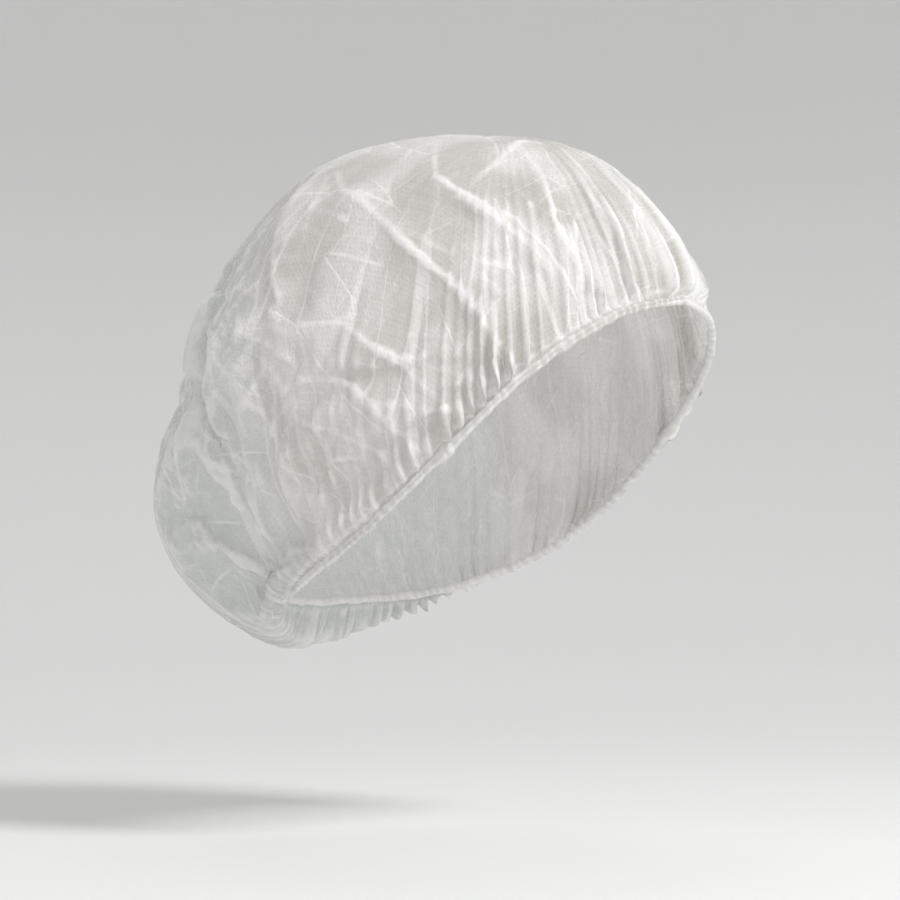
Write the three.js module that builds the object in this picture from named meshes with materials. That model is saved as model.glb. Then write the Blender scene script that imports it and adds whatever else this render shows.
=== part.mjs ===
// A disposable bouffant cap of thin nonwoven fabric, in the shape that it takes on a head.
// Millimetres, +Z up, the wearer faces -Y, and the origin is the middle of the head opening.
// Two pieces: the crown, one gathered sheet that bags out behind the head, and the elastic
// band, the hem rolled round its elastic, which runs high on the forehead and low on the nape.
// Places on the cap are directions from the origin, in degrees: azimuth is turned from the
// forehead towards the wearer's right, and tilt is leant from straight up.

import * as THREE from 'three';
import { LoftGeometry } from 'three/addons/geometries/LoftGeometry.js';
import { mergeVertices } from 'three/addons/utils/BufferGeometryUtils.js';

const WALL = 1; // thickness of the crown
const BAND = { width: 3.6, depth: 2.6, gap: 0.4 }; // section of the elastic band, and its gap to the crown
const GATHERS = { pleats: 24, rise: 1.2, level: 0.9, spread: 0.09 }; // pleats that run up from the band
const BAG = { azimuth: 180, spread: 65, lean: 75 }; // where the crown bags, and its lean off the band there
const GRID = { around: 96, up: 19, bandSides: 8 };

// The head opening, from the forehead round one side to the nape; both sides are alike.
// radius is level and height is above the origin.
const OPENING = [
	{ spot: 'forehead', azimuth: 0, radius: 86, height: 62 },
	{ spot: 'hairline', azimuth: 25, radius: 87, height: 54 },
	{ spot: 'temple', azimuth: 47, radius: 87, height: 34 },
	{ spot: 'above_ear', azimuth: 71, radius: 81, height: 2 },
	{ spot: 'ear', azimuth: 94, radius: 79, height: - 25 },
	{ spot: 'behind_ear', azimuth: 114, radius: 79, height: - 40 },
	{ spot: 'nape_side', azimuth: 140, radius: 82, height: - 52 },
	{ spot: 'nape', azimuth: 180, radius: 85, height: - 56 },
];

// Rows of the crown, from its top at level 0 to the band at level 1. The ribs are distances
// from the origin, each rib an eighth of a turn from the next. A row leans level times as far
// as the band does, and bagLevel times in the bag, which hangs a little past the band.
const ROWS = [
	{ level: 0.00, bagLevel: 0.00, front: 131, frontSide: 131, side: 131, backSide: 131, back: 131 },
	{ level: 0.20, bagLevel: 0.22, front: 129, frontSide: 127, side: 125, backSide: 134, back: 141 },
	{ level: 0.40, bagLevel: 0.45, front: 125, frontSide: 118, side: 113, backSide: 134, back: 151 },
	{ level: 0.60, bagLevel: 0.68, front: 119, frontSide: 107, side: 100, backSide: 126, back: 149 },
	{ level: 0.75, bagLevel: 0.85, front: 114, frontSide: 102, side: 94, backSide: 121, back: 148 },
	{ level: 0.88, bagLevel: 0.98, front: 110, frontSide: 97, side: 88, backSide: 110, back: 133 },
	{ level: 0.95, bagLevel: 1.04, front: 108, frontSide: 95, side: 86, backSide: 100, back: 118 },
];
const RIB_ORDER = [ 'front', 'frontSide', 'side', 'backSide', 'back', 'backSide', 'side', 'frontSide' ];

// Main folds of the crown: soft ridges that run from row to row of the same fold, and one dent
// where the bag leaves the head. rise is in millimetres and spread in degrees.
const FOLDS = [
	{ fold: 'top', azimuth: 104, tilt: 14, rise: 1, spread: 6 },
	{ fold: 'top', azimuth: 62, tilt: 34, rise: 5, spread: 6 },
	{ fold: 'top', azimuth: 40, tilt: 52, rise: 1, spread: 5 },
	{ fold: 'arch', azimuth: 62, tilt: 28, rise: 2, spread: 6 },
	{ fold: 'arch', azimuth: 25, tilt: 15, rise: 4, spread: 6 },
	{ fold: 'brow', azimuth: 40, tilt: 20, rise: 3, spread: 5 },
	{ fold: 'brow', azimuth: 27, tilt: 54, rise: 3, spread: 5 },
	{ fold: 'forehead', azimuth: 16, tilt: 19, rise: 2, spread: 5 },
	{ fold: 'forehead', azimuth: 16, tilt: 48, rise: 3, spread: 5 },
	{ fold: 'middle', azimuth: 2, tilt: 22, rise: 2, spread: 5 },
	{ fold: 'middle', azimuth: 6, tilt: 48, rise: 3, spread: 5 },
	{ fold: 'far_brow', azimuth: - 14, tilt: 24, rise: 2, spread: 6 },
	{ fold: 'far_brow', azimuth: - 18, tilt: 50, rise: 3, spread: 6 },
	{ fold: 'temple', azimuth: 125, tilt: 30, rise: 2, spread: 6 },
	{ fold: 'temple', azimuth: 84, tilt: 43, rise: 5, spread: 6 },
	{ fold: 'temple', azimuth: 52, tilt: 68, rise: 2, spread: 6 },
	{ fold: 'back', azimuth: 144, tilt: 52, rise: 2, spread: 7 },
	{ fold: 'back', azimuth: 122, tilt: 76, rise: 4, spread: 6 },
	{ fold: 'back', azimuth: 108, tilt: 106, rise: 2, spread: 6 },
	{ fold: 'ear', azimuth: 112, tilt: 74, rise: 1, spread: 6 },
	{ fold: 'ear', azimuth: 94, tilt: 73, rise: 4, spread: 6 },
	{ fold: 'ear', azimuth: 78, tilt: 86, rise: 2, spread: 5 },
	{ fold: 'bag_dent', azimuth: 146, tilt: 70, rise: - 2, spread: 7 },
	{ fold: 'bag_dent', azimuth: 128, tilt: 90, rise: - 6, spread: 7 },
	{ fold: 'bag_dent', azimuth: 126, tilt: 112, rise: - 3, spread: 7 },
];

const radians = THREE.MathUtils.degToRad;
const degrees = THREE.MathUtils.radToDeg;
const UP = new THREE.Vector3( 0, 0, 1 );

// Bell curve, 1 at no distance.
function bell( distance, spread ) {

	return Math.exp( - ( ( distance / spread ) ** 2 ) );

}

// Degrees between two azimuths, from 0 to 180.
function turnBetween( a, b ) {

	return Math.abs( THREE.MathUtils.euclideanModulo( a - b + 180, 360 ) - 180 );

}

// The unit vector of an azimuth and a tilt.
function direction( azimuth, tilt ) {

	const a = radians( azimuth );
	const t = radians( tilt );
	const level = new THREE.Vector3( - Math.sin( a ), - Math.cos( a ), 0 );
	return level.multiplyScalar( Math.sin( t ) ).setZ( Math.cos( t ) );

}

// Smooth curve through one column of a table, read at a place along another.
function readColumn( rows, place, column, at ) {

	const last = rows.length - 1;
	let i = 0;
	while ( i < last - 1 && at > rows[ i + 1 ][ place ] ) i ++;
	const change = ( a, b, key ) => rows[ b ][ key ] - rows[ a ][ key ];
	const slope = ( a, b ) => change( a, b, column ) / change( a, b, place );
	const span = change( i, i + 1, place );
	const t = THREE.MathUtils.clamp( ( at - rows[ i ][ place ] ) / span, 0, 1 );
	const startSlope = slope( Math.max( i - 1, 0 ), i + 1 );
	const endSlope = slope( i, Math.min( i + 2, last ) );
	const t2 = t * t;
	const t3 = t2 * t;
	return rows[ i ][ column ] * ( 2 * t3 - 3 * t2 + 1 ) + rows[ i + 1 ][ column ] * ( 3 * t2 - 2 * t3 )
		+ span * ( startSlope * ( t3 - 2 * t2 + t ) + endSlope * ( t3 - t2 ) );

}

// The middle of the band at an azimuth.
function openingPoint( azimuth ) {

	const turn = turnBetween( azimuth, 0 );
	const radius = readColumn( OPENING, 'azimuth', 'radius', turn );
	const height = readColumn( OPENING, 'azimuth', 'height', turn );
	return direction( azimuth, 90 ).multiplyScalar( radius ).setZ( height );

}

// A point of the band's section: out from the head, and up into the crown.
function bandPoint( azimuth, out, up ) {

	const middle = openingPoint( azimuth );
	const along = openingPoint( azimuth + 1 ).sub( openingPoint( azimuth - 1 ) ).normalize();
	const outward = middle.clone().addScaledVector( along, - middle.dot( along ) ).normalize();
	const upward = new THREE.Vector3().crossVectors( along, outward );
	return middle.addScaledVector( outward, out ).addScaledVector( upward, up );

}

// One row of the ribs, read between the ribs.
function ribRadius( row, azimuth ) {

	const at = THREE.MathUtils.euclideanModulo( azimuth, 360 ) / 45;
	const first = Math.floor( at );
	const rib = ( step ) => RIB_ORDER[ ( first + step + 8 ) % 8 ];
	const near = [ - 1, 0, 1, 2 ].map( ( step ) => ( { step, radius: row[ rib( step ) ] } ) );
	return readColumn( near, 'step', 'radius', at - first );

}

// How far the folds lift the crown in a direction: each fold counts where it comes nearest.
function foldLift( place ) {

	const lifts = {};
	for ( let i = 1; i < FOLDS.length; i ++ ) {

		const start = FOLDS[ i - 1 ];
		const end = FOLDS[ i ];
		if ( start.fold !== end.fold ) continue;
		const line = new THREE.Line3();
		line.set( direction( start.azimuth, start.tilt ), direction( end.azimuth, end.tilt ) );
		const along = line.closestPointToPointParameter( place, true );
		const distance = line.at( along, new THREE.Vector3() ).angleTo( place );
		const rise = THREE.MathUtils.lerp( start.rise, end.rise, along );
		const spread = THREE.MathUtils.lerp( start.spread, end.spread, along );
		const lift = rise * bell( distance, radians( spread ) );
		if ( Math.abs( lift ) > Math.abs( lifts[ end.fold ] ?? 0 ) ) lifts[ end.fold ] = lift;

	}
	return Object.values( lifts ).reduce( ( sum, lift ) => sum + lift, 0 );

}

// The crown's middle surface.
function crownPoint( azimuth, level ) {

	const bag = bell( turnBetween( azimuth, BAG.azimuth ), BAG.spread );
	const lean = radians( BAG.lean * bag );
	const off = BAND.width / 2 + BAND.gap;
	const edge = bandPoint( azimuth, off * Math.sin( lean ), off * Math.cos( lean ) );
	const rows = ROWS.map( ( row ) => ( { ...row, radius: ribRadius( row, azimuth ) } ) );
	rows.push( { level: 1, bagLevel: 1, radius: edge.length() } );
	const share = THREE.MathUtils.lerp( level, readColumn( rows, 'level', 'bagLevel', level ), bag );
	const ahead = edge.dot( direction( azimuth + 90, 90 ) ) / edge.dot( direction( azimuth, 90 ) );
	const turned = azimuth + degrees( Math.atan( ahead ) ) * level;
	const point = direction( turned, degrees( edge.angleTo( UP ) ) * share );
	const pleats = GATHERS.rise * Math.cos( radians( azimuth ) * GATHERS.pleats );
	const gathers = pleats * bell( level - GATHERS.level, GATHERS.spread );
	const free = THREE.MathUtils.smoothstep( 1 - level, 0, 0.06 ); // the band holds the edge
	const lift = free * ( foldLift( point ) + gathers );
	return point.multiplyScalar( readColumn( rows, 'level', 'radius', level ) + lift );

}

// The crown's outward direction at a place.
function crownNormal( azimuth, level ) {

	if ( level === 0 ) return UP;
	const step = 0.01;
	const lower = Math.min( level + step, 1 );
	const down = crownPoint( azimuth, lower ).sub( crownPoint( azimuth, level - step ) );
	const across = crownPoint( azimuth + 1, level ).sub( crownPoint( azimuth - 1, level ) );
	return across.cross( down ).normalize();

}

// A loft whose first and last sections are single points, without the empty triangles there.
function pointedLoft( sections ) {

	const loft = new LoftGeometry( sections );
	const bare = new THREE.BufferGeometry();
	bare.setIndex( loft.index );
	bare.setAttribute( 'position', loft.getAttribute( 'position' ) );
	const shell = mergeVertices( bare, 1e-3 );
	const kept = [];
	for ( let i = 0; i < shell.index.count; i += 3 ) {

		const corners = [ 0, 1, 2 ].map( ( k ) => shell.index.getX( i + k ) );
		if ( new Set( corners ).size === 3 ) kept.push( ...corners );

	}
	shell.setIndex( kept );
	shell.computeVertexNormals();
	return shell;

}

function buildCrown() {

	const outside = [];
	const inside = [];
	for ( let i = 0; i <= GRID.up; i ++ ) {

		const level = 1 - ( 1 - i / GRID.up ) ** 1.25; // closer rings towards the band
		const outer = [];
		const inner = [];
		for ( let j = 0; j < GRID.around; j ++ ) {

			const azimuth = - 360 * j / GRID.around;
			const middle = crownPoint( azimuth, level );
			const wall = crownNormal( azimuth, level ).clone().multiplyScalar( WALL / 2 );
			outer.push( middle.clone().add( wall ) );
			inner.push( middle.clone().sub( wall ) );

		}
		outside.push( outer );
		inside.push( inner );

	}
	return pointedLoft( [ ...inside, ...outside.reverse() ] );

}

function buildBand() {

	const sections = [];
	for ( let i = 0; i <= GRID.around; i ++ ) {

		const azimuth = 360 * ( i % GRID.around ) / GRID.around;
		const section = [];
		for ( let k = 0; k < GRID.bandSides; k ++ ) {

			const turn = 2 * Math.PI * k / GRID.bandSides;
			const out = BAND.depth / 2 * Math.cos( turn );
			const up = BAND.width / 2 * Math.sin( turn );
			section.push( bandPoint( azimuth, out, up ) );

		}
		sections.push( section );

	}
	return new LoftGeometry( sections );

}

const fabric = new THREE.MeshStandardMaterial( { color: 0xe6e6e0, roughness: 0.75 } );
const hem = new THREE.MeshStandardMaterial( { color: 0xeeece4, roughness: 0.8 } );

const crown = new THREE.Mesh( buildCrown(), fabric );
crown.name = 'crown';

const band = new THREE.Mesh( buildBand(), hem );
band.name = 'elastic_band';

const cap = new THREE.Group();
cap.add( crown, band );

export default cap;
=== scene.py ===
import math
import bpy
import numpy as np
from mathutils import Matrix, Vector, noise


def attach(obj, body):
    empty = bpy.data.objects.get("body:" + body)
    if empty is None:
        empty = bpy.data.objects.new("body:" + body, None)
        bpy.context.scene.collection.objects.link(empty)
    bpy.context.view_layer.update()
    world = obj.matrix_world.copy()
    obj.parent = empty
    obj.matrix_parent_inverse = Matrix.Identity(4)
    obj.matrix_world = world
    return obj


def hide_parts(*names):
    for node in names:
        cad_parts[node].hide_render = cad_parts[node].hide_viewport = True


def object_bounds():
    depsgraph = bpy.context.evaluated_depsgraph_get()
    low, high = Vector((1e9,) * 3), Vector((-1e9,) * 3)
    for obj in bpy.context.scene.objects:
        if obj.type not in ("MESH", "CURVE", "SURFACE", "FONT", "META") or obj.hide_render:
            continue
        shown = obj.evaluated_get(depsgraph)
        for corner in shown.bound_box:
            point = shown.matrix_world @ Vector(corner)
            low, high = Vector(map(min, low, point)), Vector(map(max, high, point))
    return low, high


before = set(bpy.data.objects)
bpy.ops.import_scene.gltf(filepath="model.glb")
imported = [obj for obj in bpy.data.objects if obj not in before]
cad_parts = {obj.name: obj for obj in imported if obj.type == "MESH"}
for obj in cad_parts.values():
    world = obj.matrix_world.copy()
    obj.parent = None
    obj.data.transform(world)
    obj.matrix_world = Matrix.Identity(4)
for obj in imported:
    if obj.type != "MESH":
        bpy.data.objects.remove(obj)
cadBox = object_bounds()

mm = 0.001


# Places are directions from the middle of the head opening, in degrees: azimuth turns from
# the forehead towards the wearer's right, and tilt leans from straight up.

opening = {
    "azimuth": [0, 25, 47, 71, 94, 114, 140, 180],
    "radius": [86, 87, 87, 81, 79, 79, 82, 85],      # level distance, in mm
    "height": [62, 54, 34, 2, -25, -40, -52, -56],
}

ribs = {  # distance from the origin in mm, by level from the top down; the band is level 1
    "level": [0, 0.20, 0.40, 0.60, 0.75, 0.88, 0.95],
    "bagLevel": [0, 0.22, 0.45, 0.68, 0.85, 0.98, 1.04],
    "front": [131, 129, 125, 119, 114, 110, 108],
    "frontSide": [131, 127, 118, 107, 102, 97, 95],
    "side": [131, 125, 113, 100, 94, 88, 86],
    "backSide": [131, 134, 134, 126, 121, 110, 100],
    "back": [131, 141, 151, 149, 148, 133, 118],
}
ribOrder = ["front", "frontSide", "side", "backSide", "back", "backSide", "side", "frontSide"]
bag = {"azimuth": 180, "spread": 65, "lean": 75}


def bell(distance, spread):
    return np.exp(-(distance / spread) ** 2)


def smooth(value, low, high):
    t = np.clip((value - low) / (high - low), 0, 1)
    return t * t * (3 - 2 * t)


def turnBetween(a, b):
    return np.abs((a - b + 180) % 360 - 180)


def direction(azimuth, tilt):
    a, t = np.radians(azimuth), np.radians(tilt)
    return np.stack([-np.sin(t) * np.sin(a), -np.sin(t) * np.cos(a), np.cos(t) + 0 * a], -1)


def readCurve(places, values, at):
    # smooth curve through values (places down, any columns across), read at every row of at
    places = np.asarray(places, float)
    values = np.asarray(values, float)
    last = len(places) - 1
    i = np.clip(np.searchsorted(places, at, side="right") - 1, 0, last - 1)
    before, after = np.maximum(i - 1, 0), np.minimum(i + 2, last)

    def across(x):
        return np.reshape(x, np.shape(x) + (1,) * (values.ndim - 1))

    def slope(a, b):
        return (values[b] - values[a]) / across(places[b] - places[a])

    span = places[i + 1] - places[i]
    t = across(np.clip((at - places[i]) / span, 0, 1))
    span = across(span)
    rise = span * (slope(before, i + 1) * (t**3 - 2 * t**2 + t) + slope(i, after) * (t**3 - t**2))
    return values[i] * (2 * t**3 - 3 * t**2 + 1) + values[i + 1] * (3 * t**2 - 2 * t**3) + rise


def openingPoint(azimuth):
    turn = turnBetween(azimuth, 0)
    radius = readCurve(opening["azimuth"], opening["radius"], turn)
    height = readCurve(opening["azimuth"], opening["height"], turn)
    point = direction(azimuth, 90) * radius[..., None]
    point[..., 2] = height
    return point


def unit(v):
    return v / np.linalg.norm(v, axis=-1, keepdims=True)


def bandAxes(azimuth):
    middle = openingPoint(azimuth)
    along = unit(openingPoint(azimuth + 1) - openingPoint(azimuth - 1))
    outward = unit(middle - along * np.sum(middle * along, -1, keepdims=True))
    return middle, outward, np.cross(along, outward)


def ribRadius(azimuth):
    # the ribs' rows at every azimuth: rows down, azimuths across
    table = np.array([ribs[name] for name in ribOrder])
    at = azimuth % 360 / 45
    first = np.floor(at).astype(int)
    t = at - first
    p0, p1, p2, p3 = (table[(first + step) % 8] for step in (-1, 0, 1, 2))
    t = t[:, None]
    blend = 0.5 * (2 * p1 + (p2 - p0) * t + (2 * p0 - 5 * p1 + 4 * p2 - p3) * t**2
                   + (3 * p1 - 3 * p2 + p3 - p0) * t**3)
    return blend.T


def crownSurface(azimuth, level, offBand):
    # the smooth crown, in mm, with levels down and azimuths across
    bagging = bell(turnBetween(azimuth, bag["azimuth"]), bag["spread"])
    lean = np.radians(bag["lean"]) * bagging
    middle, outward, upward = bandAxes(azimuth)
    edge = middle + offBand * (np.sin(lean)[:, None] * outward + np.cos(lean)[:, None] * upward)
    reach = np.linalg.norm(edge, axis=-1)
    rows = np.vstack([ribRadius(azimuth), reach])
    levels = ribs["level"] + [1]
    radius = readCurve(levels, rows, level)
    share = readCurve(levels, ribs["bagLevel"] + [1], level)
    share = level[:, None] + (share - level)[:, None] * bagging
    ahead = np.sum(edge * direction(azimuth + 90, 90), -1) / np.sum(edge * direction(azimuth, 90), -1)
    turned = azimuth + np.degrees(np.arctan(ahead)) * level[:, None]
    tilt = np.degrees(np.arccos(edge[:, 2] / reach)) * share
    return direction(turned, tilt) * radius[..., None]


print("surface ready")

crownSettings = {  # one sheet, gathered into the band
    "columns": 480,          # of the finished sheet
    "rows": 186,
    "offBand": 1.0,          # mm from the middle of the band to the sheet's edge
    "gatherCount": 96,       # short pleats round the band
    "gatherRise": 10,
    "gatherReach": 32,
    "calmAtEar": 0.45,       # how much weaker the pleats are at the wearer's right ear
    "earAzimuth": 84,
    "calmAtNape": 0.7,
    "longCount": 5.2,        # long pleats, as a noise frequency
    "longRise": 2.5,
    "unevenRise": 0.4,       # small unevenness that starts the cloth buckling
    "unevenSize": 12,
    "foldShare": 0.9,        # of each fold's rise, before the cloth settles
    "bagFill": 5,            # mm that the bag swells behind the head
    "crease": 0.10,          # share of each fold that stays a crisp line afterwards
    "crinkle": 0.35,
    "crinkleSize": 10,
    "weldHeight": 3.4,       # line of welding above the band
    "seed": 7,
}

clothSettings = {
    "columns": 300,          # the sheet is settled coarse, then refined
    "rows": 118,
    "frames": 14,
    "ease": 1.05,            # how much larger the cut is than the shape
    "gather": 2.2,           # most cloth that is gathered into one length of the shape
    "hold": 0.07,            # how firmly the sheet keeps to its shape
    "farthest": 7,           # mm that a wide part of the sheet may drift from its shape
    "headGap": 5,            # mm between the sheet and what it lies on
    "bending": 0.05,
    "stretching": 15,
}

# Folds that cross the crown: each is a line of places with its rise in mm and spread in
# degrees at each, and how much steeper its lower side is.
folds = [
    {"fold": "crest", "steep": 2.0, "azimuth": [104, 80, 62, 46, 40], "tilt": [14, 28, 34, 42, 52],
     "rise": [1.5, 4.5, 5.5, 4, 1], "spread": [5, 5, 5, 5, 4]},
    {"fold": "crownArch", "steep": 1.6, "azimuth": [67, 53, 43, 22], "tilt": [31, 21, 17, 15],
     "rise": [1, 4, 4.5, 2], "spread": [4, 4, 4, 5]},
    {"fold": "brow", "steep": 1.5, "azimuth": [40, 38, 34, 26], "tilt": [20, 37, 46, 55],
     "rise": [3, 4.5, 4, 2], "spread": [3, 3, 3, 3]},
    {"fold": "browShort", "steep": 1, "azimuth": [45, 43], "tilt": [33, 47],
     "rise": [2.5, 2], "spread": [2.2, 2.2]},
    {"fold": "foreheadNear", "steep": 1.3, "azimuth": [17, 20, 18, 15], "tilt": [19, 32, 40, 52],
     "rise": [2, 3.8, 3.8, 1.5], "spread": [3, 3, 3, 3]},
    {"fold": "foreheadMiddle", "steep": 1.3, "azimuth": [3, 8, 9, 8], "tilt": [21, 34, 42, 53],
     "rise": [2, 3.6, 3.6, 1.5], "spread": [3, 3, 3, 3]},
    {"fold": "foreheadFar", "steep": 1, "azimuth": [-6, -2, -2], "tilt": [30, 42, 51],
     "rise": [2, 3.4, 1.5], "spread": [2.8, 2.8, 2.8]},
    {"fold": "farBrow", "steep": 1, "azimuth": [-14, -14, -12], "tilt": [20, 36, 52],
     "rise": [2, 3.6, 1.5], "spread": [3.2, 3.2, 3]},
    {"fold": "farTemple", "steep": 1.5, "azimuth": [-22, -27, -26], "tilt": [24, 38, 54],
     "rise": [2, 4, 1.5], "spread": [4, 4, 3]},
    {"fold": "farSide", "steep": 1.6, "azimuth": [-60, -44, -42], "tilt": [20, 42, 66],
     "rise": [2, 4.5, 2], "spread": [5, 4, 3]},
    {"fold": "temple", "steep": 2.2, "azimuth": [125, 112, 97, 84, 70, 61, 52],
     "tilt": [30, 34, 37, 43, 49, 57, 69], "rise": [2, 4, 5, 5.5, 5, 4, 2.5],
     "spread": [4, 5, 5, 5, 4, 4, 3]},
    {"fold": "templeBranch", "steep": 1.5, "azimuth": [117, 104, 93], "tilt": [39, 40, 44],
     "rise": [1.5, 2.5, 1], "spread": [3, 3, 3]},
    {"fold": "spoke", "steep": 1.2, "azimuth": [128, 124, 118, 113, 110], "tilt": [36, 44, 51, 58, 69],
     "rise": [2, 3, 3, 2.5, 1], "spread": [2.6, 2.4, 2.4, 2.4, 2.4]},
    {"fold": "spokeNear", "steep": 1.2, "azimuth": [124, 113], "tilt": [32, 45],
     "rise": [2, 1.5], "spread": [2.2, 2.2]},
    {"fold": "back", "steep": 1.7, "azimuth": [147, 139, 128, 120, 114, 109, 106],
     "tilt": [48, 62, 69, 76, 85, 99, 111], "rise": [2, 4, 5, 4.5, 4, 3.5, 2],
     "spread": [5, 5, 4, 4, 4, 4, 3]},
    {"fold": "patch", "steep": 1.3, "azimuth": [130, 116, 108, 105], "tilt": [64, 66, 69, 75],
     "rise": [2, 3.5, 3.5, 1], "spread": [3, 3, 3, 3]},
    {"fold": "ear", "steep": 1.8, "azimuth": [111, 105, 97, 90, 84, 76], "tilt": [77, 73, 72.5, 75, 80, 89],
     "rise": [1, 3, 4.5, 4.5, 4, 2], "spread": [3, 3.5, 3.5, 3.5, 3, 3]},
    {"fold": "middle", "steep": 1.5, "azimuth": [101, 94, 87, 79, 71, 66], "tilt": [58, 61, 65, 69, 76, 81],
     "rise": [1, 2.5, 3.2, 3, 2.5, 1.5], "spread": [3, 3, 3, 3, 3, 3]},
    {"fold": "lowEar", "steep": 1.3, "azimuth": [110, 98, 86, 82], "tilt": [81, 84, 89, 95],
     "rise": [1, 2.8, 2.8, 1], "spread": [3, 3, 3, 2.5]},
    {"fold": "thinEar", "steep": 1, "azimuth": [84, 68], "tilt": [77.5, 79],
     "rise": [1.2, 1.2], "spread": [1.8, 1.8]},
    {"fold": "thinMiddle", "steep": 1, "azimuth": [88, 75, 57], "tilt": [65, 68.5, 73],
     "rise": [0.8, 1.4, 1], "spread": [2, 2, 2]},
    {"fold": "bagDent", "steep": 0.7, "azimuth": [146, 137, 130, 126, 125], "tilt": [68, 78, 87, 97, 112],
     "rise": [-2.5, -5, -6, -6, -3], "spread": [5, 5, 5, 5, 5]},
]


def foldFields(place):
    # total lift of the folds, and how near each point is to a fold's line
    lift = np.zeros(place.shape[:2])
    nearLine = np.zeros(place.shape[:2])
    for fold in folds:
        spots = direction(np.array(fold["azimuth"], float), np.array(fold["tilt"], float))
        best = np.full(place.shape[:2], 1e9)
        foldLift = np.zeros(place.shape[:2])
        foldLine = np.zeros(place.shape[:2])
        for k in range(len(spots) - 1):
            start, end = spots[k], spots[k + 1]
            line = end - start
            t = np.clip(((place - start) @ line) / (line @ line), 0, 1)
            nearest = unit(start + t[..., None] * line)
            away = place - nearest
            distance = np.degrees(np.linalg.norm(away, axis=-1))
            lower = (away[..., 2] < 0) * (fold["steep"] - 1) + 1
            rise = fold["rise"][k] + (fold["rise"][k + 1] - fold["rise"][k]) * t
            spread = fold["spread"][k] + (fold["spread"][k + 1] - fold["spread"][k]) * t
            crest = np.exp(-(np.sqrt((distance * lower / spread) ** 2 + 0.03) - 0.17))
            closer = distance < best
            best = np.where(closer, distance, best)
            foldLift = np.where(closer, rise * crest, foldLift)
            foldLine = np.where(closer, np.abs(rise) / 4 * bell(distance, 0.55), foldLine)
        lift += foldLift
        nearLine = np.maximum(nearLine, foldLine)
    return lift, nearLine


def noiseField(points, shift):
    flat = (points + shift).reshape(-1, 3)
    return np.array([noise.noise(p) for p in flat.tolist()]).reshape(points.shape[:-1])


def creased(field):
    # sharp ridges where a smooth noise crosses nothing
    return 1 - np.sqrt(field**2 * 14 + 0.01)


def buildGrid(name, points, closedTop=False, closedRows=False):
    # a mesh from a grid of points whose columns run right round
    rows, columns = points.shape[:2]
    index = np.arange(rows * columns).reshape(rows, columns)
    if closedRows:
        index = np.vstack([index, index[:1]])
    nextIndex = np.roll(index, -1, axis=1)
    quads = np.stack([index[:-1], nextIndex[:-1], nextIndex[1:], index[1:]], -1).reshape(-1, 4)
    vertices = points.reshape(-1, 3).tolist()
    faces = quads.tolist()
    if closedTop:
        vertices.append(points[0].mean(axis=0).tolist())
        top = len(vertices) - 1
        faces += [[top, int(nextIndex[0, j]), int(index[0, j])] for j in range(columns)]
    mesh = bpy.data.meshes.new(name)
    mesh.from_pydata(vertices, [], faces)
    mesh.validate()
    for polygon in mesh.polygons:
        polygon.use_smooth = True
    piece = bpy.data.objects.new(name, mesh)
    bpy.context.scene.collection.objects.link(piece)
    return piece


def addField(piece, name, values, kind="FLOAT"):
    # one value for each point of the grid; the top point repeats the first
    values = np.asarray(values, float)
    width = 3 if kind == "FLOAT_VECTOR" else 1
    flat = values.reshape(-1, width)
    if len(flat) < len(piece.data.vertices):
        flat = np.vstack([flat, flat[:1]])
    layer = piece.data.attributes.new(name, kind, "POINT")
    layer.data.foreach_set("vector" if width == 3 else "value", flat.ravel())


def gridNormals(points):
    down = np.gradient(points, axis=0)
    across = np.roll(points, -1, axis=1) - np.roll(points, 1, axis=1)
    normal = unit(np.cross(across, down))
    return normal * np.sign(np.sum(normal * points, -1).mean())


def pathFromTop(points):
    steps = np.linalg.norm(np.diff(points, axis=0), axis=-1)
    return np.vstack([0 * steps[:1], np.cumsum(steps, axis=0)]) + 2.5


def spreadOut(values, columns, rows):
    # each place's mean over this many columns and rows to either side
    around = sum(np.roll(values, step, axis=1) for step in range(-columns, columns + 1)) / (2 * columns + 1)
    last = len(values) - 1
    places = np.arange(len(values))
    return sum(around[np.clip(places + step, 0, last)] for step in range(-rows, rows + 1)) / (2 * rows + 1)


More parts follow.
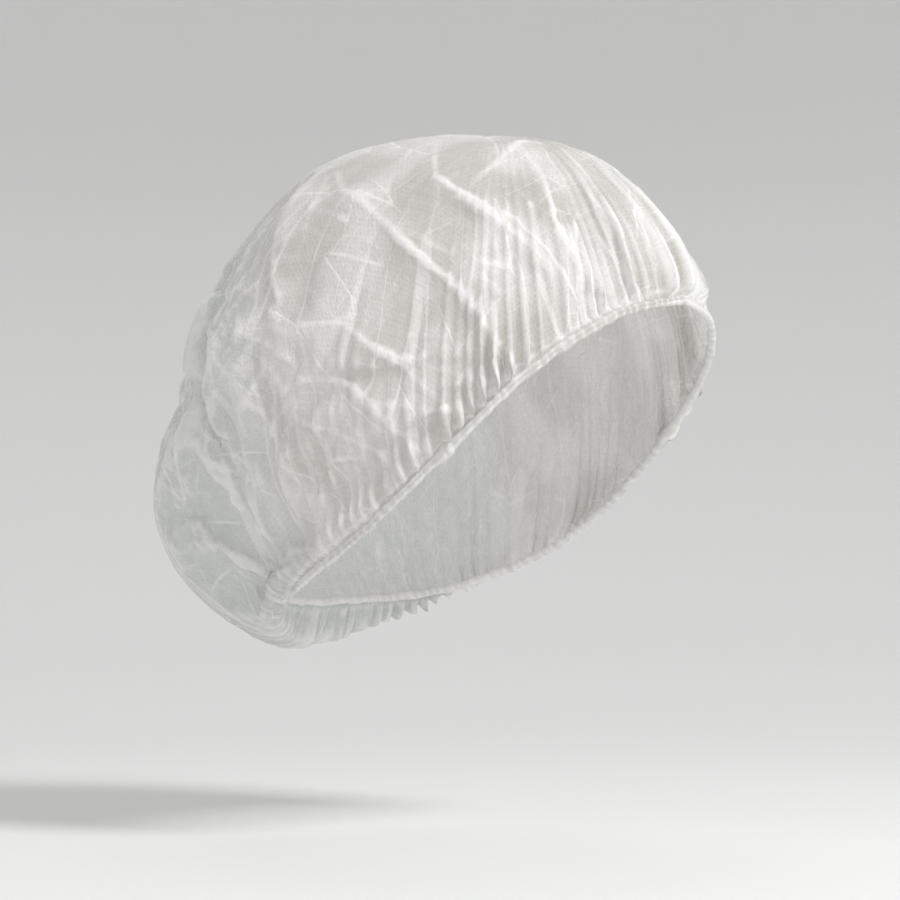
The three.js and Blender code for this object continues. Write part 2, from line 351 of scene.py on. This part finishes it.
def settle(start, smoothShape):
    # lets the gathered sheet buckle on its form, held at the band, and gives its points in mm
    s = clothSettings
    roundLength = np.linalg.norm(np.roll(smoothShape, -1, 1) - smoothShape, axis=-1).sum(1)
    cutLength = 2 * math.pi * pathFromTop(smoothShape).mean(axis=1)
    gathered = np.clip(cutLength / roundLength, 1, s["gather"])
    cutShape = smoothShape * mm * s["ease"]
    cutShape[..., :2] *= gathered[:, None, None]

    sheet = buildGrid("settlingSheet", start * mm, closedTop=True)
    inner = smoothShape - s["headGap"] * gridNormals(smoothShape)
    form = buildGrid("settlingForm", inner * mm, closedTop=True)
    sheet.shape_key_add(name="shape")
    cut = sheet.shape_key_add(name="cut")
    cut.value = 0
    cut.data.foreach_set("co", np.vstack([cutShape.reshape(-1, 3), cutShape[0].mean(0)[None]]).ravel())
    held = sheet.vertex_groups.new(name="held")
    edge = start.shape[1] * (start.shape[0] - 1)
    held.add(list(range(edge)) + [edge + start.shape[1]], s["hold"], "REPLACE")
    held.add(list(range(edge, edge + start.shape[1])), 1, "REPLACE")

    cloth = sheet.modifiers.new("cloth", "CLOTH")
    cloth.point_cache.frame_end = s["frames"] + 1
    cloth.collision_settings.distance_min = 0.001
    fabric = cloth.settings
    fabric.rest_shape_key = cut
    fabric.vertex_group_mass = "held"
    fabric.mass = 0.05
    fabric.tension_stiffness = fabric.compression_stiffness = s["stretching"]
    fabric.bending_stiffness = s["bending"]
    fabric.air_damping = 2
    fabric.effector_weights.gravity = 0
    form.modifiers.new("form", "COLLISION")
    form.collision.thickness_outer = 0.001

    scene = bpy.context.scene
    for step in range(1, s["frames"] + 1):
        scene.frame_set(step)
    settled = sheet.evaluated_get(bpy.context.evaluated_depsgraph_get()).to_mesh()
    points = np.empty(len(settled.vertices) * 3)
    settled.vertices.foreach_get("co", points)
    for helper in (sheet, form):
        bpy.data.objects.remove(helper)
    scene.frame_set(1)
    moved = points[:-3].reshape(start.shape) / mm - start
    # a wide drift is limited, so that the sheet doesn't sink into the head, and its folds stay
    wide = spreadOut(moved, s["columns"] // 24, s["rows"] // 14)
    far = np.linalg.norm(wide, axis=-1, keepdims=True) / s["farthest"] + 1e-9
    return start + moved - wide * (1 - np.tanh(far) / far)


def refine(points, levels, columns, newLevels):
    # the same surface with more rows and columns
    rows = readCurve(levels, points, newLevels)
    count = points.shape[1]
    padded = np.concatenate([rows[:, -2:], rows, rows[:, :3]], axis=1).transpose(1, 0, 2)
    places = np.arange(-2, count + 3)
    return readCurve(places, padded, np.arange(columns) * count / columns).transpose(1, 0, 2)


def buildCrown():
    s, c = crownSettings, clothSettings
    shifts = np.random.default_rng(s["seed"]).uniform(20, 90, (8, 3))

    # the coarse sheet, with its main folds and its long pleats, is left to settle
    azimuth = -360 * np.arange(c["columns"]) / c["columns"]
    coarse = np.linspace(0.014, 1, c["rows"])
    base = crownSurface(azimuth, coarse, s["offBand"])
    arc = pathFromTop(base)
    fromBand = arc[-1] - arc
    wander = direction(azimuth, 90)[None] * s["longCount"] + unit(base) * 0.8
    wander[..., 2] = fromBand / 95
    filled = s["bagFill"] * bell(turnBetween(azimuth, 162), 42) * bell(fromBand - 80, 55)
    long = s["longRise"] * noiseField(wander, shifts[3]) * smooth(arc, 25, 80)
    long = long + s["unevenRise"] * noiseField(base / s["unevenSize"], shifts[4])
    lift = (s["foldShare"] * foldFields(unit(base))[0] + long + filled) * smooth(fromBand, 0, 12)
    points = base + gridNormals(base) * lift[..., None]
    settled = settle(points, base)
    settled = (settled + spreadOut(settled, 1, 1)) / 2
    points += (settled - points) * smooth(fromBand, 3, 22)[..., None]
    print("sheet settled")

    # the fine sheet gets its crisp creases and its gathers
    azimuth = -360 * np.arange(s["columns"]) / s["columns"]
    fine = np.linspace(0.014, 1, s["rows"])
    base = refine(points, coarse, s["columns"], fine)
    smoothShape = crownSurface(azimuth, fine, s["offBand"])
    place = unit(smoothShape)
    arc = pathFromTop(smoothShape)
    fromBand = arc[-1] - arc
    ring = direction(azimuth, 90)[None] + 0 * place
    folded, nearLine = foldFields(place)
    lift = s["crease"] * folded

    # pleats that run up from the band
    drift = noiseField(ring * 2.2, shifts[0]) * 5 + noiseField(ring * 6, shifts[1]) * 3
    phase = np.radians(azimuth) * s["gatherCount"] + drift
    strength = 0.72 + 1.2 * noiseField(ring * 4, shifts[2]) + 0.9 * noiseField(ring * 15, shifts[0])
    calm = s["calmAtEar"] * bell(turnBetween(azimuth, s["earAzimuth"]), 30)
    calm = calm + s["calmAtNape"] * bell(turnBetween(azimuth, 180), 62)
    strength = np.clip(strength, 0.15, 1.25) * (1 - calm)
    short = (0.64 - np.abs(np.sin(phase / 2))) * strength
    lift += s["gatherRise"] * short * np.exp(-fromBand / s["gatherReach"])

    # small crisp crinkles
    soft = noiseField(smoothShape / 26, shifts[5])
    warped = smoothShape / s["crinkleSize"] + 0.8 * soft[..., None]
    strength = smooth(noiseField(smoothShape / 45, shifts[6]), -0.2, 0.35)
    lift += s["crinkle"] * (creased(noiseField(warped, shifts[7])) - 0.4) * strength * smooth(fromBand, 1, 16)

    weld = bell(fromBand - s["weldHeight"], 0.9)
    lift += 0.35 * weld
    lift *= smooth(fromBand, -1, 6)
    points = base + gridNormals(base) * lift[..., None]
    crown = buildGrid("gatheredCrown", points * mm, closedTop=True)

    # what the cloth's finish reads: its flat cut, its creases (whitened, partly a painted highlight), and the
    # lower back, which gets painted shade
    turn = np.radians(azimuth)
    cut = np.stack([arc * np.cos(turn), arc * np.sin(turn), 0 * arc], -1) * mm
    addField(crown, "cut", cut, "FLOAT_VECTOR")
    pleat = np.stack([80 * np.cos(turn) + 0 * arc, 80 * np.sin(turn) + 0 * arc, arc / 9], -1) * mm
    addField(crown, "pleat", pleat, "FLOAT_VECTOR")
    normal = gridNormals(points)
    bend = 0
    for reach in (2, 5):
        ahead, behind = np.roll(points, -reach, 1), np.roll(points, reach, 1)
        bend = bend + np.sum((points - (ahead + behind) / 2) * normal, -1) / reach
        up, down = points[:-2 * reach], points[2 * reach:]
        inside = slice(reach, -reach)
        bend[inside] += np.sum((points[inside] - (up + down) / 2) * normal[inside], -1) / reach
    # whitened where the cloth bulges out in ridges, along the fold lines and at the weld: partly doubled
    # cloth, partly a painted highlight
    crease = np.clip(bend - 0.2, 0, 1) * 0.8 + nearLine * 0.6 + 0.5 * weld
    addField(crown, "crease", np.clip(crease, 0, 1))
    # painted shade: marks the lower back of the bag, which is coloured a darker grey-green
    addField(crown, "back", smooth(turnBetween(azimuth, 180) + 0 * arc, 75, 35) * smooth(arc, 80, 150))
    return crown


crown = buildCrown()
area = sum(p.area for p in crown.data.polygons)
print("crown built,", len(crown.data.polygons), "faces,", round(area, 4), "m2")

bandSettings = {  # the hem, rolled and puckered round its elastic
    "columns": 1200,
    "sides": 14,
    "width": 3.7,            # mm along the fabric
    "depth": 2.9,            # mm out from the head
    "puckers": 136,
    "puckerDepth": 0.17,     # share of the section
    "slant": 0.9,            # how the puckers wind round the elastic
    "wave": 0.45,            # mm that the band wanders
    "joinAzimuth": 71,       # where the elastic's ends meet, in a small lump
    "joinWidth": 2.4,        # degrees
    "joinSize": 0.75,
    "seed": 21,
}


def buildBand():
    s = bandSettings
    azimuth = 360 * np.arange(s["columns"]) / s["columns"]
    middle, outward, upward = bandAxes(azimuth)
    ring = direction(azimuth, 90)
    shifts = np.random.default_rng(s["seed"]).uniform(20, 90, (5, 3))
    drift = noiseField(ring * 9, shifts[0]) * 5 + noiseField(ring * 30, shifts[1]) * 1.4
    size = 1 + 0.22 * noiseField(ring * 24, shifts[2])
    size += s["joinSize"] * bell(turnBetween(azimuth, s["joinAzimuth"]), s["joinWidth"])
    sway = s["wave"] * (noiseField(ring * 16, shifts[3]) + 0.6 * noiseField(ring * 38, shifts[4]))
    middle = middle + upward * sway[:, None]
    rows = []
    folds = []
    for k in range(s["sides"]):
        turn = 2 * math.pi * k / s["sides"]
        phase = np.radians(azimuth) * s["puckers"] + drift + s["slant"] * math.sin(turn)
        pucker = np.abs(np.sin(phase / 2))
        swell = size * (1 + s["puckerDepth"] * (pucker - 0.6))
        out = s["depth"] / 2 * math.cos(turn) * swell
        up = s["width"] / 2 * math.sin(turn) * swell
        rows.append(middle + out[:, None] * outward + up[:, None] * upward)
        folds.append(1 - pucker)
    band = buildGrid("gatheredHem", np.array(rows)[::-1] * mm, closedRows=True)
    # the pucker folds are whitened: partly doubled cloth, partly a painted highlight
    addField(band, "crease", np.array(folds)[::-1] ** 2)
    length = np.cumsum(np.linalg.norm(np.roll(middle, -1, 0) - middle, axis=-1)) * mm
    turns = 2 * math.pi * np.arange(s["sides"])[::-1, None] / s["sides"] * s["width"] / 2 * mm
    along = np.stack([length + 0 * turns, turns + 0 * length, 0 * turns + 0 * length], -1)
    addField(band, "cut", along, "FLOAT_VECTOR")
    return band


band = buildBand()
print("band built,", len(band.data.polygons), "faces")


class Wire:
    # one socket of a node tree, with arithmetic that adds Math nodes
    def __init__(self, tree, socket):
        self.tree, self.socket = tree, socket

    def maths(self, operation, first, second=None):
        node = self.tree.nodes.new("ShaderNodeMath")
        node.operation = operation
        for socket, value in zip(node.inputs, (first, second)):
            if isinstance(value, Wire):
                self.tree.links.new(value.socket, socket)
            elif value is not None:
                socket.default_value = value
        return Wire(self.tree, node.outputs[0])

    def __add__(self, other):
        return self.maths("ADD", self, other)

    def __radd__(self, other):
        return self.maths("ADD", other, self)

    def __sub__(self, other):
        return self.maths("SUBTRACT", self, other)

    def __rsub__(self, other):
        return self.maths("SUBTRACT", other, self)

    def __mul__(self, other):
        return self.maths("MULTIPLY", self, other)

    def __rmul__(self, other):
        return self.maths("MULTIPLY", other, self)

    def __truediv__(self, other):
        return self.maths("DIVIDE", self, other)


class Finish:
    # a material whose nodes are all added by one method
    def __init__(self, name):
        self.material = bpy.data.materials.new(name)
        self.material.use_nodes = True
        self.tree = self.material.node_tree
        self.tree.nodes.clear()

    def add(self, kind, settings=None, sockets=None, output=0):
        node = self.tree.nodes.new(kind)
        for key, value in (settings or {}).items():
            if key == "stops":
                for element, (place, grey) in zip(node.color_ramp.elements, value):
                    element.position = place
                    element.color = (grey, grey, grey, 1)
            else:
                setattr(node, key, value)
        for key, value in (sockets or {}).items():
            if isinstance(value, Wire):
                self.tree.links.new(value.socket, node.inputs[key])
            else:
                node.inputs[key].default_value = value
        return Wire(self.tree, node.outputs[output]) if node.outputs else None

    def ramp(self, value, low, high, atLow=0.0, atHigh=1.0):
        settings = {"interpolation_type": "SMOOTHSTEP"}
        sockets = {"Value": value, "From Min": low, "From Max": high, "To Min": atLow, "To Max": atHigh}
        return self.add("ShaderNodeMapRange", settings, sockets)

    def tint(self, factor, first, second):
        return self.add("ShaderNodeMix", {"data_type": "RGBA"}, {0: factor, 6: first, 7: second}, 2)

    def stretched(self, vector, scale, turn):
        settings = {"vector_type": "TEXTURE"}
        sockets = {"Vector": vector, "Rotation": (0, 0, turn), "Scale": scale}
        return self.add("ShaderNodeMapping", settings, sockets)

    def texture(self, vector, size, detail=2.0, rough=0.5, space="2D"):
        sockets = {"Vector": vector, "Scale": 1 / size, "Detail": detail, "Roughness": rough}
        return self.add("ShaderNodeTexNoise", {"noise_dimensions": space}, sockets)


nonwoven = {
    "front": (0.85, 0.83, 0.80, 1),
    # painted shade: a darker warm grey that stands for the dark head seen through the sheer cloth
    "paintedShade": (0.63, 0.60, 0.56, 1),
    # painted shade: the lower back of the bag is given this darker grey-green
    "back": (0.66, 0.70, 0.67, 1),
    # crease white: partly the cloth folded double, partly a painted highlight on ridges and fold lines
    "line": (0.97, 0.965, 0.955, 1),
    "glow": (0.90, 0.89, 0.87, 1),
    "opacity": 0.72,
    "creaseOpacity": 0.30,
    "lineStrength": 0.75,     # of the fine crisp creases
    "cloud": 0.22,            # how uneven the web of fibres is
    "cloudSize": 0.0045,
    "fibreSize": 0.0011,
    "fibreStretch": 16,
    "bondPitch": 0.0021,
    "throughLight": 0.25,     # share of light that passes through the fibres
}


def webPattern(finish, cut):
    # crossing fibres: thin bright lines in two directions
    fibres = []
    for turn in (0.35, 1.9):
        place = finish.stretched(cut, (nonwoven["fibreStretch"], 1, 1), turn)
        field = finish.texture(place, nonwoven["fibreSize"], 0)
        fibres.append(1 - finish.ramp((field - 0.5) * (field - 0.5), 0.0, 0.0035))
    return fibres[0] * 0.55 + fibres[1] * 0.55


def bondPattern(finish, cut):
    # rows of small welded points, every second row shifted by half a step
    pitch = nonwoven["bondPitch"]
    parts = finish.add("ShaderNodeSeparateXYZ", None, {"Vector": cut})
    down = Wire(finish.tree, parts.socket.node.outputs[1])
    row = down / pitch
    whole = row.maths("FLOOR", row)
    shifted = parts / pitch + 0.5 * whole
    x = shifted.maths("FRACT", shifted) - 0.5
    y = row.maths("FRACT", row) - 0.5
    return finish.ramp(x * x + y * y, 0.03, 0.09, 1, 0)


def creaseLines(finish, cut, size, width, turn, stretch):
    # crisp straight lines where the flat cloth was folded, in patches
    cells = finish.stretched(cut, (stretch, 1, 1), turn)
    settings = {"feature": "DISTANCE_TO_EDGE", "voronoi_dimensions": "2D"}
    edges = finish.add("ShaderNodeTexVoronoi", settings, {"Vector": cells, "Scale": 1 / size})
    patch = finish.texture(cut, size * 1.7, 0)
    return finish.ramp(edges, 0, width / size, 1, 0) * finish.ramp(patch, 0.42, 0.62)


def pleatLines(finish, pleat, cut, size):
    # fine lines that run up from the band and fade towards the top
    field = finish.texture(pleat, size, 1, 0.5, "3D")
    reach = finish.add("ShaderNodeVectorMath", {"operation": "LENGTH"}, {0: cut}, 1)
    return (1 - finish.ramp((field - 0.5) * (field - 0.5), 0.0, 0.0006)) * finish.ramp(reach, 0.05, 0.12)


def makeNonwoven(name, opacity, bumpDepth):
    s = nonwoven
    finish = Finish(name)
    cut = finish.add("ShaderNodeAttribute", {"attribute_name": "cut"}, None, 1)
    crease = finish.add("ShaderNodeAttribute", {"attribute_name": "crease"}, None, 2)
    back = finish.add("ShaderNodeAttribute", {"attribute_name": "back"}, None, 2)
    cloud = finish.texture(cut, s["cloudSize"], 2, 0.6)
    broad = finish.texture(cut, s["cloudSize"] * 9, 1)
    pleat = finish.add("ShaderNodeAttribute", {"attribute_name": "pleat"}, None, 1)
    lines = creaseLines(finish, cut, 0.022, 0.0008, 0.5, 3.6)
    lines = lines + 0.45 * creaseLines(finish, cut, 0.015, 0.0005, 1.9, 4.5)
    lines = lines + 0.7 * pleatLines(finish, pleat, cut, 0.012)
    # the crease white: folded cloth is whiter and more opaque, and the ridges and fine lines also carry a
    # painted highlight
    creaseWhiteAndHighlight = crease + s["lineStrength"] * lines
    creaseWhiteAndHighlight = creaseWhiteAndHighlight.maths("MINIMUM", creaseWhiteAndHighlight, 1.0)
    web = webPattern(finish, cut)
    bonds = bondPattern(finish, cut)
    # painted shade in broad random patches: the cloth's off-white darkens towards the shade colour
    paint = finish.tint(finish.ramp(broad, 0.35, 0.65), s["paintedShade"], s["front"])
    # painted shade at the lower back: the colour goes towards the darker grey-green
    paint = finish.tint(back, paint, s["back"])
    # painted highlight, partly doubled cloth: creases and fine lines go towards the line white
    paint = finish.tint(creaseWhiteAndHighlight, paint, s["line"])
    cover = opacity + s["creaseOpacity"] * creaseWhiteAndHighlight + s["cloud"] * (cloud - 0.5) + 0.16 * (web - 0.4)
    cover = cover + 0.06 * (broad - 0.5) - 0.05 * bonds
    height = web * 0.5 + cloud * 0.8 - bonds * 0.5
    crinkle = finish.texture(cut, 0.007, 2, 0.55)
    height = height * 0.35 + 0.9 * crinkle + 0.25 * lines
    bump = finish.add("ShaderNodeBump", None, {"Height": height, "Distance": bumpDepth, "Strength": 0.8})
    sockets = {"Base Color": paint, "Roughness": finish.ramp(cloud, 0.3, 0.7, 0.72, 0.86), "Normal": bump,
               "Specular IOR Level": 0.28, "Sheen Weight": 0.25, "Sheen Roughness": 0.5}
    surface = finish.add("ShaderNodeBsdfPrincipled", None, sockets)
    glow = finish.add("ShaderNodeBsdfTranslucent", None, {"Color": s["glow"]})
    cloth = finish.add("ShaderNodeMixShader", None, {0: s["throughLight"], 1: surface, 2: glow})
    clear = finish.add("ShaderNodeBsdfTransparent", None, {"Color": (1, 1, 1, 1)})
    shown = finish.add("ShaderNodeMixShader", None, {0: finish.ramp(cover, 0.0, 1.0), 1: clear, 2: cloth})
    finish.add("ShaderNodeOutputMaterial", None, {"Surface": shown})
    return finish.material


crown.data.materials.append(makeNonwoven("thinNonwoven", nonwoven["opacity"], 0.0007))
band.data.materials.append(makeNonwoven("rolledNonwoven", 0.93, 0.0004))
print("finishes ready")


room = {
    "paper": (0.90, 0.90, 0.895, 1),
    "floorDrop": 0.075,       # metres from the cap's lowest point down to the floor
    "floorRadius": 0.8,
    "bend": 2.4,
    "wallHeight": 3.2,
}

view = {
    "azimuth": -57,
    "elevation": -2,
    "distance": 1.3,
    "fieldWidth": 0.3645,     # metres across the view at the cap
    "aside": 0.0093,          # metres that the cap stands off the view's middle
    "above": 0.0235,
}

lights = [
    {"name": "key", "azimuth": -14, "elevation": 40, "distance": 1.9, "size": 0.5, "power": 25},
    {"name": "fill", "azimuth": -105, "elevation": 45, "distance": 2.2, "size": 1.4, "power": 1.2},
    {"name": "rim", "azimuth": 130, "elevation": 50, "distance": 1.9, "size": 1.0, "power": 4},
]


def around(azimuth, elevation, distance):
    a, e = math.radians(azimuth), math.radians(elevation)
    return Vector((math.sin(a) * math.cos(e), -math.cos(a) * math.cos(e), math.sin(e))) * distance


def buildRoom(floorHeight):
    # a floor that curves up into a wall all round
    bend = room["bend"]
    profile = [(0.01 + room["floorRadius"] * k / 4, 0) for k in range(5)]
    profile += [(room["floorRadius"] + bend * math.sin(t), bend * (1 - math.cos(t)))
                for t in np.radians(np.linspace(10, 90, 9))]
    profile.append((room["floorRadius"] + bend, room["wallHeight"]))
    turns = np.linspace(0, 2 * math.pi, 96, endpoint=False)
    points = [[(r * math.cos(t), r * math.sin(t), z + floorHeight) for t in turns] for r, z in profile]
    points = np.array(points)
    floor = buildGrid("paperFloor", points, closedTop=True)
    finish = Finish("palePaper")
    grain = finish.texture(finish.add("ShaderNodeTexCoord", None, None, 3), 0.004, 0)
    paint = finish.tint(grain, room["paper"], tuple(0.985 * c for c in room["paper"][:3]) + (1,))
    surface = finish.add("ShaderNodeBsdfPrincipled", None, {"Base Color": paint, "Roughness": 0.9})
    finish.add("ShaderNodeOutputMaterial", None, {"Surface": surface})
    floor.data.materials.append(finish.material)


def buildLights(middle):
    world = bpy.data.worlds.new("softSky")
    bpy.context.scene.world = world
    world.use_nodes = True
    background = world.node_tree.nodes["Background"]
    background.inputs["Color"].default_value = (1, 1, 1, 1)
    background.inputs["Strength"].default_value = 0.42
    for light in lights:
        lamp = bpy.data.lights.new(light["name"], "AREA")
        lamp.size = light["size"]
        lamp.energy = light["power"]
        holder = bpy.data.objects.new(light["name"], lamp)
        bpy.context.scene.collection.objects.link(holder)
        spot = around(light["azimuth"], light["elevation"], light["distance"])
        holder.location = middle + spot
        holder.rotation_euler = (-spot).to_track_quat("-Z", "Y").to_euler()


def buildCamera(middle):
    lens = bpy.data.cameras.new("camera")
    lens.sensor_width = 36
    lens.lens = 36 * view["distance"] / view["fieldWidth"]
    camera = bpy.data.objects.new("camera", lens)
    bpy.context.scene.collection.objects.link(camera)
    back = around(view["azimuth"], view["elevation"], 1)
    right = Vector((0, 0, 1)).cross(back).normalized()
    aim = middle + right * view["aside"] - Vector((0, 0, view["above"]))
    camera.location = aim + back * view["distance"]
    camera.rotation_euler = back.to_track_quat("Z", "Y").to_euler()
    bpy.context.scene.camera = camera


lowest, highest = cadBox
middle = (lowest + highest) / 2
buildRoom(lowest.z - room["floorDrop"])
buildLights(middle)
buildCamera(middle)
bpy.context.scene.view_settings.view_transform = "Standard"
print("room ready")


for piece, node in ((crown, "crown"), (band, "elastic_band")):
    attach(piece, "root")
    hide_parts(node)
